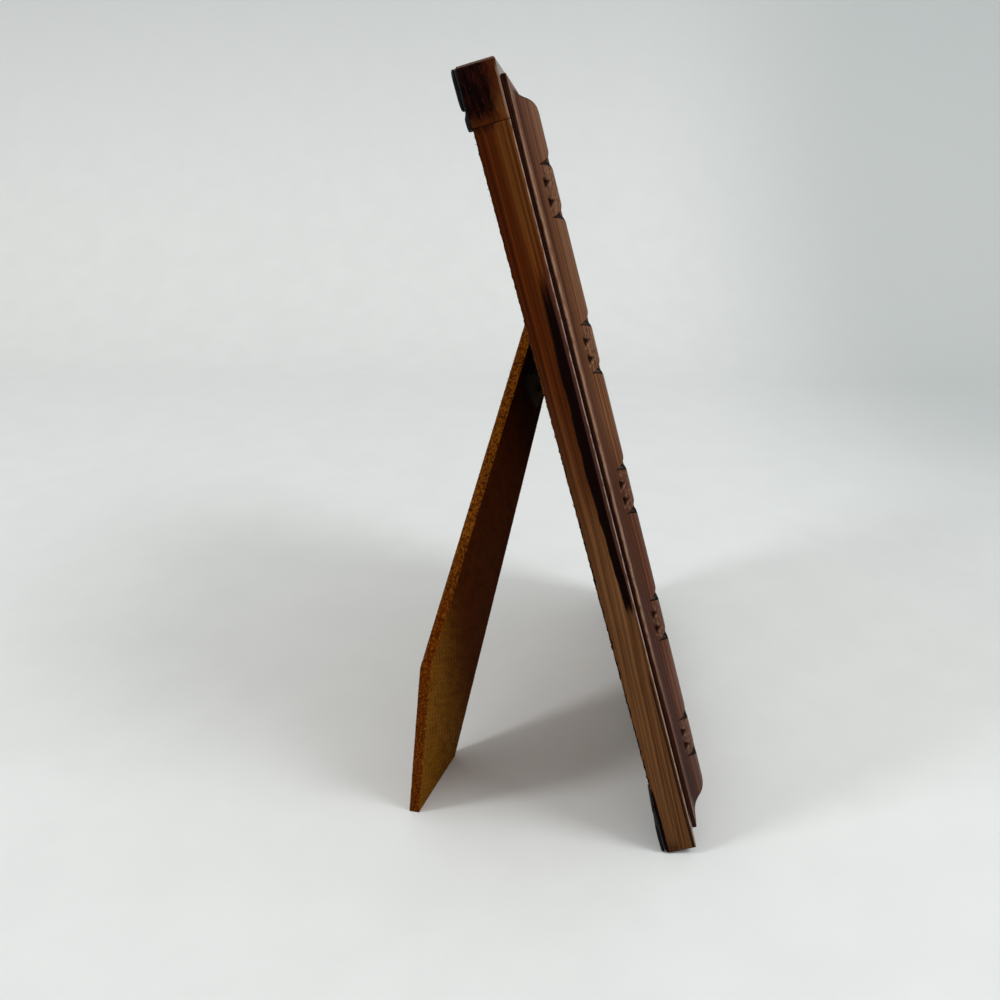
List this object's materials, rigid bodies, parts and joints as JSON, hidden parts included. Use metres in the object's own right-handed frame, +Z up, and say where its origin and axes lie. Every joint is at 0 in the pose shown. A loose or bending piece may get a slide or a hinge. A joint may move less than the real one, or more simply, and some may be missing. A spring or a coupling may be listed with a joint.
{
  "type": "easel picture frame",
  "caption": "Small wooden table-top picture frame: carved mitred moulding on a plain rear frame, with glass, hardboard back and a slanting hinged easel leg that folds flat.",
  "frame": {"origin": "On the table, under the middle of the standing frame's box.", "axes": "+X across the frame to its right-hand side seen from the front, +Y to the back, +Z up. The frame leans back and stands on its two lower bumpers and the foot of its open leg."},
  "size_m": [0.157, 0.084, 0.202],
  "materials": {
    "stained_pine": "stained and thinly varnished, satin",
    "carved_wood": "stained and varnished, semi-gloss",
    "clear_glass": "clear",
    "plain_paper": "matt, blank",
    "grey_card": "matt",
    "hardboard": "raw, screen-textured face and fibrous edge",
    "black_felt": "matt",
    "black_rubber": "matt",
    "black_steel": "black, satin",
    "bright_steel": "zinc plated"
  },
  "bodies": {
    "frame": {"backing_board": "hardboard", "brad_left_1": "bright_steel", "brad_left_2": "bright_steel", "brad_right_1": "bright_steel", "brad_right_2": "bright_steel", "bumper_bottom_left": "black_rubber", "bumper_bottom_right": "black_rubber", "bumper_top_left": "black_rubber", "bumper_top_right": "black_rubber", "corner_patch_bottom_left": "black_felt", "corner_patch_bottom_right": "black_felt", "corner_patch_top_left": "black_felt", "corner_patch_top_right": "black_felt", "filler_card": "grey_card", "glass_pane": "clear_glass", "hinge_board_leaf": "black_steel", "hinge_pin": "black_steel", "insert_card": "plain_paper", "moulding_bottom": "carved_wood", "moulding_left": "carved_wood", "moulding_right": "carved_wood", "moulding_top": "carved_wood", "point_bottom_1": "bright_steel", "point_bottom_2": "bright_steel", "point_left_1": "bright_steel", "point_left_2": "bright_steel", "point_right_1": "bright_steel", "point_right_2": "bright_steel", "point_top_1": "bright_steel", "point_top_2": "bright_steel", "rear_rail_bottom": "stained_pine", "rear_rail_left": "stained_pine", "rear_rail_right": "stained_pine", "rear_rail_top": "stained_pine", "rivet_board_1": "black_steel", "rivet_board_2": "black_steel"},
    "leg": {"easel_leg": "hardboard", "hinge_leg_leaf": "black_steel", "rivet_leg_1": "black_steel", "rivet_leg_2": "black_steel"}
  },
  "joints": [
    {"name": "leg_fold", "type": "hinge", "parent": "frame", "child": "leg", "pos_m": [0.001, 0.00287, 0.12263], "axis": [0.7912, -0.1634, -0.5893], "range_deg": [-27.2, 0]}
  ]
}
